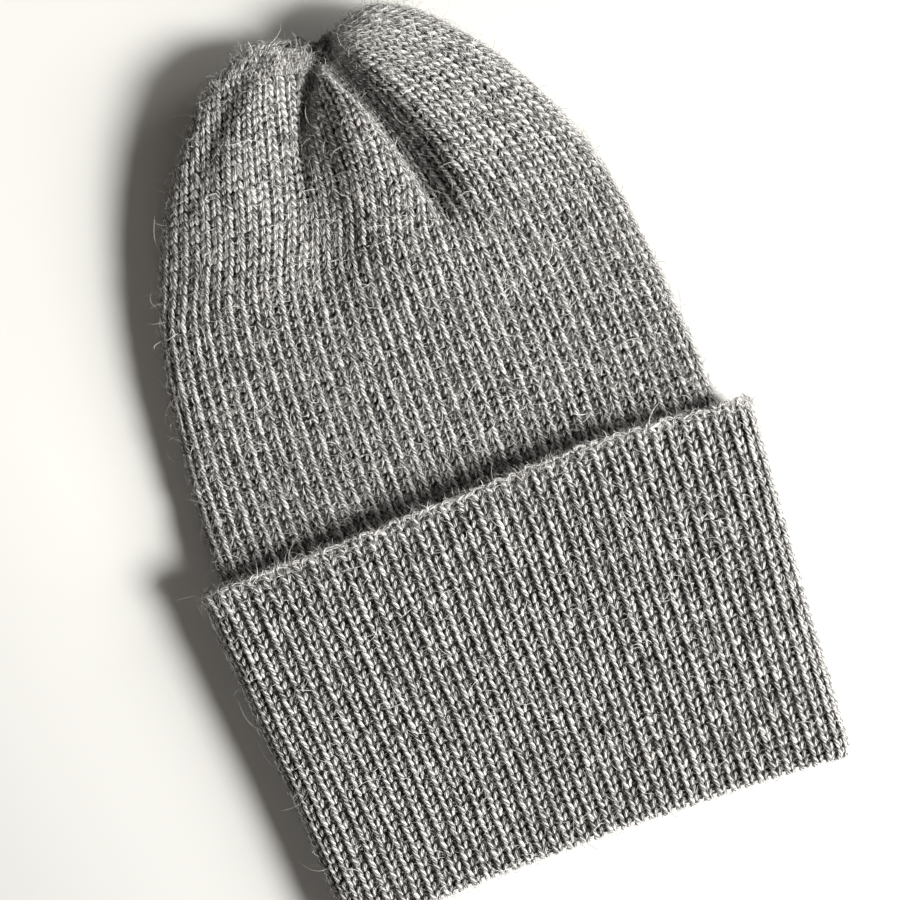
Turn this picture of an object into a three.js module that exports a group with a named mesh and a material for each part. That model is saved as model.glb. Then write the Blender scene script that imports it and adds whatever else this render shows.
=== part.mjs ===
// Cuffed beanie in 1x1 rib knit, lying flat. Millimetres: X across, Y from the opening to the gathered
// top, Z up. Two closed walls of knit: the crown, and the cuff turned up round its lower part.
import * as THREE from "three";

// The knit
const WALL = 3.5; // thickness of the rib knit
const GAP = 0.3; // clearance between the two pieces
const RIBS = 80; // ribs round the hat
const RIB_DEPTH = 1.1; // how far a furrow lies below its ribs
const RIB_PITCH = 4.6; // relaxed distance between two ribs
const LYING = 1; // height up to which the ribs are pressed flat by the floor
const LIFTED = 3; // further height over which they come back
const ROLL = WALL + GAP / 2; // radius of the rolled fold, which joins two walls and their gap
const FOLD_DROOP = 3.3; // how far the fold sags towards the two side edges
const DROOP_REACH = 60; // distance over which that sag fades out

// Sections of the crown's outer face, from the fold to the bottom of the pucker. y: place along the hat,
// swell: how far the side lobes stand past that, left, right: reach from the middle line, under, top:
// heights above the floor, edge: radius of the rounded side edges.
const CROWN_SECTIONS = [
  { y: 1.1, swell: 0, left: 82.7, right: 86.6, under: 3.8, top: 21.2, edge: 7.2 },
  { y: 62, swell: 0, left: 84.8, right: 88, under: 3.8, top: 20.6, edge: 7.6 },
  { y: 122, swell: 0, left: 86.7, right: 88.8, under: 3.9, top: 18.2, edge: 6.8 },
  { y: 142, swell: 0, left: 86.4, right: 88.6, under: 0, top: 21.4, edge: 7.8 },
  { y: 168, swell: 0, left: 84, right: 86.4, under: 0, top: 24.6, edge: 8.8 },
  { y: 192, swell: 0, left: 80.5, right: 83.5, under: 0, top: 28.6, edge: 9.6 },
  { y: 214, swell: 0.2, left: 74.7, right: 78.7, under: 0, top: 34.6, edge: 10.2 },
  { y: 233, swell: 0.7, left: 66.5, right: 70.7, under: 0.5, top: 37.4, edge: 11.2 },
  { y: 250, swell: 1.8, left: 55.7, right: 60.3, under: 2, top: 38.2, edge: 12 },
  { y: 263, swell: 3.6, left: 43.2, right: 48.4, under: 4.5, top: 36.8, edge: 12 },
  { y: 270.5, swell: 5.8, left: 31.4, right: 37.4, under: 8, top: 33.6, edge: 10.4 },
  { y: 274.4, swell: 7.2, left: 19.8, right: 26.8, under: 11.5, top: 29.6, edge: 7.8 },
  { y: 274.2, swell: 6.9, left: 10.5, right: 17, under: 14.5, top: 26, edge: 5 },
  { y: 271.5, swell: 4, left: 3.6, right: 10, under: 16.5, top: 23.4, edge: 3 },
  { y: 268, swell: 1, left: 0.5, right: 6.5, under: 18, top: 21.5, edge: 1.6 },
];

// Sections of the cuff's outer face, from the fold to the loose edge.
const CUFF_SECTIONS = [
  { y: 0.8, left: 86.6, right: 90.6, under: 0, top: 25, edge: 11 },
  { y: 35, left: 88.4, right: 92.9, under: 0, top: 26.2, edge: 11.5 },
  { y: 75, left: 91.8, right: 96, under: 0, top: 28.2, edge: 12.1 },
  { y: 116.8, left: 94.9, right: 99.1, under: 0, top: 31.6, edge: 12.9 },
];

// How far the loose edge stands past that last section, at five places from the left side to the right.
const EDGE_LINE = [{ past: -1.6 }, { past: -1.4 }, { past: 0.4 }, { past: 1.4 }, { past: -1.8 }];

// Folds that run down from the gather, on the front and on the back. face: 1 on the front, -1 on the back,
// from, to: place across the hat at the fold's foot and at the gather, as a share of the half width,
// foot, full: where along the hat it starts and has its depth, left, right: widths of its flanks.
// The one with a negative depth is the lobe between the two deep creases, which stands out.
const FOLDS = [
  { face: 1, from: 0.295, to: 0, foot: 198, full: 234, depth: 46, left: 2.9, right: 6.2 },
  { face: 1, from: -0.29, to: 0.02, foot: 228, full: 264, depth: 12, left: 1.8, right: 3 },
  { face: 1, from: -0.3, to: 0.02, foot: 202, full: 244, depth: 7, left: 13, right: 3 },
  { face: 1, from: -0.23, to: 0, foot: 178, full: 214, depth: 13, left: 15, right: 13 },
  { face: 1, from: -0.04, to: 0.01, foot: 208, full: 236, depth: -5, left: 9, right: 15 },
  { face: 1, from: -0.8, to: -0.6, foot: 228, full: 262, depth: 2, left: 6, right: 6 },
  { face: -1, from: -0.5, to: -0.25, foot: 212, full: 244, depth: 10, left: 6, right: 6 },
  { face: -1, from: -0.02, to: 0, foot: 230, full: 254, depth: 6, left: 6, right: 5 },
  { face: -1, from: 0.5, to: 0.2, foot: 208, full: 240, depth: 10, left: 5, right: 7 },
];
const FRONT_SHARE = 0.58; // most of the crown's height that the folds of its front take up
const BACK_SHARE = 0.28; // and those of its back
const FOLD_BEND = 3; // how late on its way a fold turns towards the gather
const FOLD_WIDE = 1.2; // width of a fold at its foot, as a share of its flanks in the table
const FOLD_NARROW = 0.45; // how much of that share it loses on its way to the gather
const FOLD_TURN = 2; // how sharply a fold ends where the cloth turns round the side edges
const FOLD_SMOOTH = 5; // depth in a fold at which the ribs no longer stand out
const FOLD_PULL = 0.6; // share of a fold's cloth that is drawn in from beside it
const GATHER = 274; // where along the hat the folds meet
const SWELL_CURVE = 1.5; // how the swell of the side lobes grows away from the middle

// Facets
const FINE = 2 * RIBS; // points round a ribbed outer face: a rib and a furrow in turn
const COARSE = RIBS; // points round a smooth inner face
const SAMPLES = 960; // steps along a section when its points are spaced
const HIDDEN_RINGS = [{ from: 0, to: 1, steps: 1 }];
const CROWN_RINGS = [
  { from: 1.8, to: 2, steps: 1 },
  { from: 2, to: 3, steps: 1 },
  { from: 3, to: 5, steps: 2 },
  { from: 5, to: 8, steps: 7 },
  { from: 8, to: 12, steps: 7 },
  { from: 12, to: 14, steps: 1 },
];
const HOLLOW_RINGS = [
  { from: 0, to: 2, steps: 1 },
  { from: 2, to: 3, steps: 2 },
  { from: 3, to: 5, steps: 2 },
  { from: 5, to: 8, steps: 4 },
];
const HOLLOW_END = [0.86, 0.6, 0.28]; // how the hollow draws in towards its closed end
const HOLLOW_STEP = 2.6; // distance between those last rings
const HOLLOW_TIP = 0.4; // how far its end lies past the last one, in those steps
const PUCKER_FLOOR = 1; // how far the middle of the pucker lies below its last ring
const CUFF_RINGS = 4;
const ROLL_STEPS = 4;
const EDGE_ROUND = 0.45; // how far the loose edge is rounded out, as a share of the wall

const KNIT = new THREE.MeshStandardMaterial({ color: 0x8c8b88, roughness: 1, metalness: 0 });

const smooth = (t) => {
  const k = Math.min(1, Math.max(0, t));
  return k * k * (3 - 2 * k);
};

// A section between two rows of a table: each column follows one smooth curve through all its rows.
function sectionAt(rows, place) {
  const i = Math.min(rows.length - 2, Math.floor(place));
  const t = place - i;
  const section = {};
  for (const column of Object.keys(rows[0])) {
    const here = rows[i][column];
    const next = rows[i + 1][column];
    const last = i > 0 ? rows[i - 1][column] : 2 * here - next;
    const then = i + 2 < rows.length ? rows[i + 2][column] : 2 * next - here;
    const start = (next - last) / 2;
    const end = (then - here) / 2;
    const bend = 3 * (next - here) - 2 * start - end;
    const twist = 2 * (here - next) + start + end;
    section[column] = here + t * (start + t * (bend + t * twist));
  }
  if (section.under < 0) section.under = 0;
  return section;
}

// The outline of a section as arcs: flat underneath, two rounded side edges and a low arch over the top.
function archOf({ left, right, under, top, edge }) {
  const middle = (right - left) / 2;
  const across = (left + right) / 2 - edge;
  const rise = top - under - edge;
  const radius = (across ** 2 + rise ** 2 - edge ** 2) / (2 * (rise - edge));
  const angle = Math.asin(across / (radius - edge));
  const lengths = [
    edge * (Math.PI / 2 - angle),
    radius * angle * 2,
    edge * (Math.PI - angle),
    across * 2,
    edge * (Math.PI / 2),
  ];
  const around = lengths.reduce((a, b) => a + b);
  return { middle, across, under, top, edge, radius, angle, lengths, around };
}

// Point and outward normal at a place round that outline, in turns from the right edge over the front.
function onArch(arch, turn) {
  const { middle, across, under, top, edge, radius, lengths } = arch;
  let rest = (turn - Math.floor(turn)) * arch.around;
  let piece = 0;
  while (piece < lengths.length - 1 && rest > lengths[piece]) {
    rest -= lengths[piece];
    piece += 1;
  }
  const arc = (cx, cz, size, angle) => ({
    x: cx + size * Math.cos(angle),
    z: cz + size * Math.sin(angle),
    nx: Math.cos(angle),
    nz: Math.sin(angle),
  });
  const low = under + edge;
  if (piece === 0) return arc(middle + across, low, edge, rest / edge);
  if (piece === 1) return arc(middle, top - radius, radius, Math.PI / 2 - arch.angle + rest / radius);
  if (piece === 2) return arc(middle - across, low, edge, Math.PI / 2 + arch.angle + rest / edge);
  if (piece === 3) return { x: middle - across + rest, z: under, nx: 0, nz: -1 };
  return arc(middle + across, low, edge, rest / edge - Math.PI / 2);
}

// How deep the folds press the crown in at a point of a section. spread widens them for the inner face.
function foldDepth(section, arch, at, spread) {
  if (section.swell === undefined) return 0;
  const half = (section.left + section.right) / 2;
  const height = section.top - section.under;
  const depthOf = (fold) => {
    const facing = smooth(0.5 + fold.face * at.nz * FOLD_TURN);
    const grown = smooth((section.y - fold.foot) / (fold.full - fold.foot));
    const run = Math.min(1, Math.max(0, (section.y - fold.foot) / (GATHER - fold.foot)));
    const line = arch.middle + half * (fold.from + (fold.to - fold.from) * run ** FOLD_BEND);
    const off = at.x - line;
    const width = (off < 0 ? fold.left : fold.right) * (FOLD_WIDE - FOLD_NARROW * run) + spread;
    return fold.depth * grown * facing * Math.exp(-((off / width) ** 2));
  };
  const pressed = (face, most) => {
    const depth = FOLDS.filter((fold) => fold.face === face).reduce((sum, fold) => sum + depthOf(fold), 0);
    return most * (1 - Math.exp(-depth / most));
  };
  return pressed(1, FRONT_SHARE * height) + pressed(-1, BACK_SHARE * height);
}

// Places round a section for its ribs: evenly spaced, and drawn together where a fold takes up cloth.
function evenTurns(section, arch, count) {
  const far = [0];
  const step = arch.around / SAMPLES;
  let before = null;
  for (let i = 0; i <= SAMPLES; i += 1) {
    const at = onArch(arch, i / SAMPLES);
    const deep = foldDepth(section, arch, at, 0);
    const point = { x: at.x - at.nx * deep, z: at.z - at.nz * deep };
    if (before) {
      const folded = Math.hypot(point.x - before.x, point.z - before.z);
      far.push(far[far.length - 1] + step + FOLD_PULL * (folded - step));
    }
    before = point;
  }
  const turns = [];
  let i = 0;
  for (let k = 0; k < count; k += 1) {
    const wanted = (k / count) * far[SAMPLES];
    while (far[i + 1] < wanted) i += 1;
    turns.push((i + (wanted - far[i]) / (far[i + 1] - far[i])) / SAMPLES);
  }
  return { turns, pitch: far[SAMPLES] / RIBS };
}

// How far the fold line sags at a place across the hat.
function droop(x, y, reach) {
  return -FOLD_DROOP * (x / reach) ** 2 * (1 - smooth(y / DROOP_REACH));
}

// A ring of points round the crown. inset: how far inside the outer face it runs.
function crownRing(place, inset, count, ribbed) {
  const section = sectionAt(CROWN_SECTIONS, place);
  const arch = archOf(section);
  const { turns, pitch } = evenTurns(section, arch, count);
  return turns.map((turn, k) => {
    const at = onArch(arch, turn);
    const pressed = foldDepth(section, arch, at, inset);
    const flat = smooth((at.z - LYING) / LIFTED) * (1 - smooth(pressed / FOLD_SMOOTH));
    const furrow = ribbed && k % 2 === 1 ? RIB_DEPTH * flat * Math.min(1, pitch / RIB_PITCH) : 0;
    const deep = inset + furrow + pressed;
    const side = Math.abs((at.x - arch.middle) * 2) / (section.left + section.right);
    const y = section.y + section.swell * side ** SWELL_CURVE + droop(at.x, section.y, section.right);
    return [at.x - at.nx * deep, y, at.z - at.nz * deep];
  });
}

// A ring of points round the cuff.
function cuffRing(place, inset, along, count, ribbed) {
  const section = sectionAt(CUFF_SECTIONS, place);
  const arch = archOf(section);
  const { turns } = evenTurns(section, arch, count);
  return turns.map((turn, k) => {
    const at = onArch(arch, turn);
    const flat = smooth((at.z - LYING) / LIFTED);
    const deep = inset + (ribbed && k % 2 === 1 ? RIB_DEPTH * flat : 0);
    const across = (at.x - arch.middle) / (section.left + section.right) + 0.5;
    const line = sectionAt(EDGE_LINE, across * (EDGE_LINE.length - 1));
    const past = line.past * smooth(place / (CUFF_SECTIONS.length - 1));
    const y = section.y + along + past + droop(at.x, section.y, section.right);
    return [at.x - at.nx * deep, y, at.z - at.nz * deep];
  });
}

// Joins rings into one skin. A ring with half the points of its neighbour is joined two to one.
function skinOf(rings, closed, cap) {
  const points = [];
  const faces = [];
  const starts = rings.map((ring) => {
    const start = points.length;
    points.push(...ring);
    return start;
  });
  const apart = (a, b) => Math.hypot(...points[a].map((value, axis) => value - points[b][axis]));
  const quad = (a, b, c, d) => {
    if (apart(a, c) <= apart(b, d)) faces.push(a, b, c, a, c, d);
    else faces.push(a, b, d, b, c, d);
  };
  const joins = closed ? rings.length : rings.length - 1;
  for (let r = 0; r < joins; r += 1) {
    const s = (r + 1) % rings.length;
    const n = rings[r].length;
    const m = rings[s].length;
    const less = Math.min(n, m);
    for (let i = 0; i < less; i += 1) {
      const j = (i + 1) % less;
      if (n === m) {
        quad(starts[r] + i, starts[r] + j, starts[s] + j, starts[s] + i);
      } else if (n > m) {
        const odd = starts[r] + 2 * i + 1;
        faces.push(starts[r] + 2 * i, odd, starts[s] + i);
        faces.push(odd, starts[s] + j, starts[s] + i);
        faces.push(odd, starts[r] + 2 * j, starts[s] + j);
      } else {
        const odd = starts[s] + 2 * i + 1;
        faces.push(starts[r] + i, odd, starts[s] + 2 * i);
        faces.push(starts[r] + i, starts[r] + j, odd);
        faces.push(starts[r] + j, starts[s] + 2 * j, odd);
      }
    }
  }
  if (cap) {
    const first = points.push(cap.first) - 1;
    const last = points.push(cap.last) - 1;
    const lead = rings[0].length;
    const tail = rings[rings.length - 1].length;
    for (let i = 0; i < lead; i += 1) faces.push(first, starts[0] + ((i + 1) % lead), starts[0] + i);
    const end = starts[rings.length - 1];
    for (let i = 0; i < tail; i += 1) faces.push(last, end + i, end + ((i + 1) % tail));
  }
  return { points, faces };
}

// Places in a section table, step by step through the stretches of a list.
function placesOf(stretches) {
  const places = [stretches[0].from];
  for (const { from, to, steps } of stretches) {
    for (let i = 1; i <= steps; i += 1) places.push(from + ((to - from) * i) / steps);
  }
  return places;
}

function middleOf(ring) {
  return [0, 1, 2].map((axis) => ring.reduce((sum, point) => sum + point[axis], 0) / ring.length);
}

// The crown: from the bottom of the pucker down its outer face, round the lower edge and up the inside.
function crownSkin() {
  const hidden = placesOf(HIDDEN_RINGS).map((place) => crownRing(place, 0, COARSE, false));
  const shown = placesOf(CROWN_RINGS).map((place) => crownRing(place, 0, FINE, true));
  const outer = [...hidden, ...shown];
  const inner = placesOf(HOLLOW_RINGS).map((place) => crownRing(place, WALL, COARSE, false));
  const last = inner[inner.length - 1];
  const [mx, my, mz] = middleOf(last);
  HOLLOW_END.forEach((share, i) => {
    const y = HOLLOW_STEP * (i + 1);
    inner.push(last.map(([x, py, z]) => [mx + (x - mx) * share, py + y, mz + (z - mz) * share]));
  });
  const rings = [...outer.reverse(), ...inner];
  const pucker = middleOf(outer[0]);
  pucker[1] -= PUCKER_FLOOR;
  const end = [mx, my + HOLLOW_STEP * (HOLLOW_END.length + HOLLOW_TIP), mz];
  return skinOf(rings, false, { first: pucker, last: end });
}

// The cuff: down its outer face, round the rolled fold, across to its inner face, up that and over the edge.
function cuffSkin() {
  const rings = [];
  const top = CUFF_SECTIONS.length - 1;
  for (let i = 0; i <= CUFF_RINGS; i += 1) {
    rings.push(cuffRing(top * (1 - i / CUFF_RINGS), 0, 0, FINE, true));
  }
  for (let i = 1; i <= ROLL_STEPS; i += 1) {
    const angle = (Math.PI * i) / ROLL_STEPS;
    const inset = ROLL * (1 - Math.cos(angle));
    rings.push(cuffRing(0, inset, -ROLL * Math.sin(angle), COARSE, false));
  }
  for (let i = 0; i <= top; i += 1) rings.push(cuffRing(i, WALL, 0, COARSE, false));
  rings.push(cuffRing(top, WALL / 2, WALL * EDGE_ROUND, COARSE, false));
  return skinOf(rings, true, null);
}

function meshOf(name, { points, faces }) {
  const geometry = new THREE.BufferGeometry();
  geometry.setAttribute("position", new THREE.Float32BufferAttribute(points.flat(), 3));
  geometry.setIndex(faces);
  geometry.computeVertexNormals();
  const mesh = new THREE.Mesh(geometry, KNIT.clone());
  mesh.name = name;
  return mesh;
}

const group = new THREE.Group();
group.add(meshOf("crown", crownSkin()));
group.add(meshOf("cuff", cuffSkin()));

// The origin is the middle of the hat's underside.
const box = new THREE.Box3().setFromObject(group);
group.position.set(-(box.min.x + box.max.x) / 2, -(box.min.y + box.max.y) / 2, -box.min.z);
group.updateMatrixWorld(true);

export default group;
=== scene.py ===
"""A cuffed beanie in grey rib knit that lies flat on a pale table, stitch by stitch.

Lengths are in millimetres in the hat's own frame: X across, Y from the fold to the gather, Z up. placed()
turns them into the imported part's frame, in metres.
"""

import math
from types import SimpleNamespace

import bpy
import numpy as np
from mathutils import Matrix, Vector


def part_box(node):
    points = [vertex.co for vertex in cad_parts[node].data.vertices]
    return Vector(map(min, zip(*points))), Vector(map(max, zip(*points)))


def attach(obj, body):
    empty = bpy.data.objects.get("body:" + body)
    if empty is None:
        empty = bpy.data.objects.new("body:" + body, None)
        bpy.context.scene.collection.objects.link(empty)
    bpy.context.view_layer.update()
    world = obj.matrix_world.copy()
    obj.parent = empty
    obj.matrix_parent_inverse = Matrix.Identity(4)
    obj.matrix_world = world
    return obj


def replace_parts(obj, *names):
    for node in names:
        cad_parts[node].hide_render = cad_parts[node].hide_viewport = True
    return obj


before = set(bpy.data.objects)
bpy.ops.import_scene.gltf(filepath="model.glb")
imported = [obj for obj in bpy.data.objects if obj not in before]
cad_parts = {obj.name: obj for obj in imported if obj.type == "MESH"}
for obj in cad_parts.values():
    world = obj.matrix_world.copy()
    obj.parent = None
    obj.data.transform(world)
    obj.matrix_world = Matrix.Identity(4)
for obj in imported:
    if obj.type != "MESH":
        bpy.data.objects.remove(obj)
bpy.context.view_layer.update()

MM = 0.001

# The knit
WALL = 3.5  # thickness of the rib knit
GAP = 0.3  # clearance between crown and cuff
RIBS = 80  # ribs round the hat
ROW = 2.94  # height of a row of stitches
ROLL = WALL + GAP / 2  # radius of the rolled fold
TABLE_GAP = 0.02  # the yarn underneath is pressed flat this far above the table
FOLD_DROOP = 3.3  # how far the fold sags towards the side edges
DROOP_REACH = 60  # distance over which that sag fades out


def table(names, rows):
    """Rows of numbers as named columns."""
    return dict(zip(names.split(), np.array(rows, float).T))


# Sections of the crown's and the cuff's outer face. left and right are how far a section reaches from the
# middle, under and top its heights, edge the radius of its side edges, and swell how much nearer to the
# gather its sides lie. past is how far the cuff's loose edge runs on, at five places from left to right.
CROWN_SECTIONS = table("y swell left right under top edge", [
    (1.1, 0, 82.7, 86.6, 3.8, 21.2, 7.2),
    (62, 0, 84.8, 88, 3.8, 20.6, 7.6),
    (122, 0, 86.7, 88.8, 3.9, 18.2, 6.8),
    (142, 0, 86.4, 88.6, 0, 21.4, 7.8),
    (168, 0, 84, 86.4, 0, 24.6, 8.8),
    (192, 0, 80.5, 83.5, 0, 28.6, 9.6),
    (214, 0.2, 74.7, 78.7, 0, 34.6, 10.2),
    (233, 0.7, 66.5, 70.7, 0.5, 37.4, 11.2),
    (250, 1.8, 55.7, 60.3, 2, 38.2, 12),
    (263, 3.6, 43.2, 48.4, 4.5, 36.8, 12),
    (270.5, 5.8, 31.4, 37.4, 8, 33.6, 10.4),
    (274.4, 7.2, 19.8, 26.8, 11.5, 29.6, 7.8),
    (274.2, 6.9, 10.5, 17, 14.5, 26, 5),
    (271.5, 4, 3.6, 10, 16.5, 23.4, 3),
    (268, 1, 0.5, 6.5, 18, 21.5, 1.6),
])
CUFF_SECTIONS = table("y left right under top edge", [
    (0.8, 86.6, 90.6, 0, 25, 11),
    (35, 88.4, 92.9, 0, 26.2, 11.5),
    (75, 91.8, 96, 0, 28.2, 12.1),
    (116.8, 94.9, 99.1, 0, 31.6, 12.9),
])
EDGE_LINE = table("past", [(-1.6,), (-1.4,), (0.4,), (1.4,), (-1.8,)])
CUFF_TOP = len(CUFF_SECTIONS["y"]) - 1
CROWN_TOP = len(CROWN_SECTIONS["y"]) - 1
SHOULDER = 5  # the section of the crown from which it narrows
DOME = 8  # the section from which it closes over the top

# Folds that run down from the gather. face is 1 on the front and -1 on the back. start and end are their
# places across at the foot and at the gather, in half widths. foot and full are the y at which they begin
# and have their full depth. left and right are their half widths, and takes weighs how much cloth they hide.
FOLDS = [
    dict(face=1, start=0.295, end=0, foot=198, full=234, depth=46, left=2.9, right=6.2, takes=3),
    dict(face=1, start=-0.29, end=0.02, foot=228, full=264, depth=12, left=1.8, right=3, takes=2),
    dict(face=1, start=-0.3, end=0.02, foot=202, full=244, depth=7, left=13, right=3, takes=0),
    dict(face=1, start=-0.23, end=0, foot=178, full=214, depth=13, left=15, right=13, takes=0),
    dict(face=1, start=-0.04, end=0.01, foot=208, full=236, depth=-5, left=9, right=15, takes=0),
    dict(face=1, start=-0.8, end=-0.6, foot=228, full=262, depth=2, left=6, right=6, takes=0),
    dict(face=-1, start=-0.5, end=-0.25, foot=212, full=244, depth=10, left=6, right=6, takes=2),
    dict(face=-1, start=-0.02, end=0, foot=230, full=254, depth=6, left=6, right=5, takes=1.5),
    dict(face=-1, start=0.5, end=0.2, foot=208, full=240, depth=10, left=5, right=7, takes=2),
]
FOLD_SHARES = {1: 0.58, -1: 0.28}  # how deep a face can be pressed in, in shares of the hat's height
FOLD_BEND = 3  # power by which a fold's line turns to the gather
FOLD_WIDE = 1.2  # width of a fold at its foot, in shares of left and right
FOLD_NARROW = 0.45  # how much less it is at the gather
FOLD_TURN = 2  # how sharply the folds of a face end at the side edges
FOLD_PULL = 0.3  # how much the depth of a fold draws ribs in
FULL_ROUND = 365  # cloth round the hat
TAKEN_UP = 0.6  # share of the spare cloth that the folds hide where the crown is narrower
TAKEN_FROM = (150, 240)  # y over which they come to hide it
GATHER = 274  # y at which all folds meet
SWELL_CURVE = 1.5  # power by which a section bends up or down towards its sides
SAMPLES = 960  # points round a section by which the ribs are spaced
LEAST = 1e-9  # keeps a division from dividing by nothing


def smooth(t):
    """A soft step from 0 to 1."""
    k = np.clip(t, 0, 1)
    return k * k * (3 - 2 * k)


def section_at(columns, place):
    """The columns of a table between its rows, each on one smooth curve through them."""
    found = SimpleNamespace()
    for name, column in columns.items():
        ends = np.concatenate(([2 * column[0] - column[1]], column, [2 * column[-1] - column[-2]]))
        i = np.clip(np.floor(place).astype(int), 0, len(column) - 2)
        t = place - i
        last, here, after, then = (ends[i + k] for k in range(4))
        start, end = (after - last) / 2, (then - here) / 2
        bend = 3 * (after - here) - 2 * start - end
        twist = 2 * (here - after) + start + end
        setattr(found, name, here + t * (start + t * (bend + t * twist)))
    if "under" in columns:
        found.under = np.maximum(found.under, 0)
    return found


def arch_of(s):
    """The outline of a section: flat underneath, two rounded side edges and a low arch over the top."""
    across = (s.left + s.right) / 2 - s.edge
    rise = s.top - s.under - s.edge
    radius = (across**2 + rise**2 - s.edge**2) / (2 * (rise - s.edge))
    angle = np.arcsin(across / (radius - s.edge))
    lengths = [
        s.edge * (math.pi / 2 - angle), radius * angle * 2, s.edge * (math.pi - angle),
        across * 2, s.edge * math.pi / 2,
    ]
    ends = np.cumsum(np.concatenate(lengths, axis=1), axis=1)
    middle = (s.right - s.left) / 2
    return SimpleNamespace(middle=middle, across=across, radius=radius, angle=angle, ends=ends)


def on_arch(s, arch, turn):
    """Points and outward normals round that outline, in turns from the right edge over the front."""
    far = (turn % 1) * arch.ends[:, -1:]
    piece = (far[..., None] > arch.ends[:, None, :-1]).sum(axis=2)
    starts = np.concatenate([np.zeros_like(arch.ends[:, :1]), arch.ends[:, :-1]], axis=1)
    rest = far - np.take_along_axis(starts, piece, axis=1)
    low = s.under + s.edge
    nothing = np.zeros_like(rest)
    angle = np.choose(piece, [
        rest / s.edge, math.pi / 2 - arch.angle + rest / arch.radius,
        math.pi / 2 + arch.angle + rest / s.edge, nothing - math.pi / 2, rest / s.edge - math.pi / 2,
    ])
    cx = np.choose(piece, [
        arch.middle + arch.across + nothing, arch.middle + nothing, arch.middle - arch.across + nothing,
        arch.middle - arch.across + rest, arch.middle + arch.across + nothing,
    ])
    cz = np.choose(piece, [
        low + nothing, s.top - arch.radius + nothing, low + nothing, s.under + nothing, low + nothing,
    ])
    edge = s.edge + nothing
    size = np.choose(piece, [edge, arch.radius + nothing, edge, nothing, edge])
    nx, nz = np.cos(angle), np.sin(angle)
    return SimpleNamespace(x=cx + size * nx, z=cz + size * nz, nx=nx, nz=nz)


def fold_shape(s, arch, at, fold, spread):
    """How near each point is to the line of a fold, from 0 to 1. spread widens the fold."""
    half = (s.left + s.right) / 2
    facing = smooth(0.5 + fold["face"] * at.nz * FOLD_TURN)
    run = np.clip((s.y - fold["foot"]) / (GATHER - fold["foot"]), 0, 1)
    line = arch.middle + half * (fold["start"] + (fold["end"] - fold["start"]) * run**FOLD_BEND)
    off = at.x - line
    width = np.where(off < 0, fold["left"], fold["right"]) * (FOLD_WIDE - FOLD_NARROW * run) + spread
    return facing * np.exp(-((off / width) ** 2))


def fold_depth(s, arch, at, spread):
    """How deep the folds press the crown in."""
    pressed = {1: 0, -1: 0}
    for fold in FOLDS:
        grown = smooth((s.y - fold["foot"]) / (fold["full"] - fold["foot"]))
        pressed[fold["face"]] += fold["depth"] * grown * fold_shape(s, arch, at, fold, spread)
    most = {face: share * (s.top - s.under) for face, share in FOLD_SHARES.items()}
    return sum(most[face] * (1 - np.exp(-depth / most[face])) for face, depth in pressed.items())


def taken_up(s, arch, at, length):
    """Cloth that the folds take up where the crown is narrower than its cloth."""
    spare = np.maximum(FULL_ROUND - length.sum(axis=1, keepdims=True), 0)
    share = TAKEN_UP * smooth((s.y - TAKEN_FROM[0]) / (TAKEN_FROM[1] - TAKEN_FROM[0]))
    pull = sum(fold["takes"] * fold_shape(s, arch, at, fold, 0) for fold in FOLDS)[:, 1:]
    return spare * share * pull / np.maximum(pull.sum(axis=1, keepdims=True), LEAST)


def even_turns(s, arch, count, folded):
    """Places round each section, evenly spaced and drawn together where a fold takes up cloth."""
    turns = np.linspace(0, 1, SAMPLES + 1)
    at = on_arch(s, arch, np.tile(turns, (len(s.y), 1)))
    deep = fold_depth(s, arch, at, 0) if folded else 0
    x, z = at.x - at.nx * deep, at.z - at.nz * deep
    step = arch.ends[:, -1:] / SAMPLES
    length = step + FOLD_PULL * (np.hypot(np.diff(x), np.diff(z)) - step)
    if folded:
        length += taken_up(s, arch, at, length)
    far = np.concatenate([np.zeros_like(step), np.cumsum(length, axis=1)], axis=1)
    shares = np.arange(count) / count
    return np.array([np.interp(shares * row[-1], row, turns) for row in far])


def droop(x, y, reach):
    """How far the cloth near the fold sags at x, where reach is the hat's half width."""
    return -FOLD_DROOP * (x / reach) ** 2 * (1 - smooth(y / DROOP_REACH))


def crown_rings(place, inset, count):
    """Rings of points round the crown at places in its table."""
    s = section_at(CROWN_SECTIONS, np.asarray(place, float)[:, None])
    arch = arch_of(s)
    at = on_arch(s, arch, even_turns(s, arch, count, True))
    deep = inset + fold_depth(s, arch, at, inset)
    side = np.abs((at.x - arch.middle) * 2) / (s.left + s.right)
    y = s.y + s.swell * side**SWELL_CURVE + droop(at.x, s.y, s.right)
    return np.stack([at.x - at.nx * deep, y, at.z - at.nz * deep], axis=2)


def cuff_rings(place, inset, along, count):
    """Rings of points round the cuff. inset and along, a value a ring, shift them inwards and to the tip."""
    place, inset, along = (np.asarray(value, float)[:, None] for value in (place, inset, along))
    s = section_at(CUFF_SECTIONS, place)
    arch = arch_of(s)
    at = on_arch(s, arch, even_turns(s, arch, count, False))
    across = (at.x - arch.middle) / (s.left + s.right) + 0.5
    past = section_at(EDGE_LINE, across * (len(EDGE_LINE["past"]) - 1)).past * smooth(place / CUFF_TOP)
    y = s.y + along + past + droop(at.x, s.y, s.right)
    return np.stack([at.x - at.nx * inset, y, at.z - at.nz * inset], axis=2)


def crown_place(y):
    """The place in the crown's table of a y below its dome."""
    return np.interp(y, CROWN_SECTIONS["y"][:DOME + 1], np.arange(DOME + 1))


def frame_shift():
    """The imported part's origin in the hat's frame, from the box of the cuff's node."""
    low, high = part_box("cuff")
    reach = np.max(CUFF_SECTIONS["right"])
    roll = cuff_rings([0], [ROLL], [-ROLL], RIBS)[0]
    return np.array([reach - high.x / MM, roll[:, 1].min() - low.y / MM, -low.z / MM])


SHIFT = frame_shift()


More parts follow.
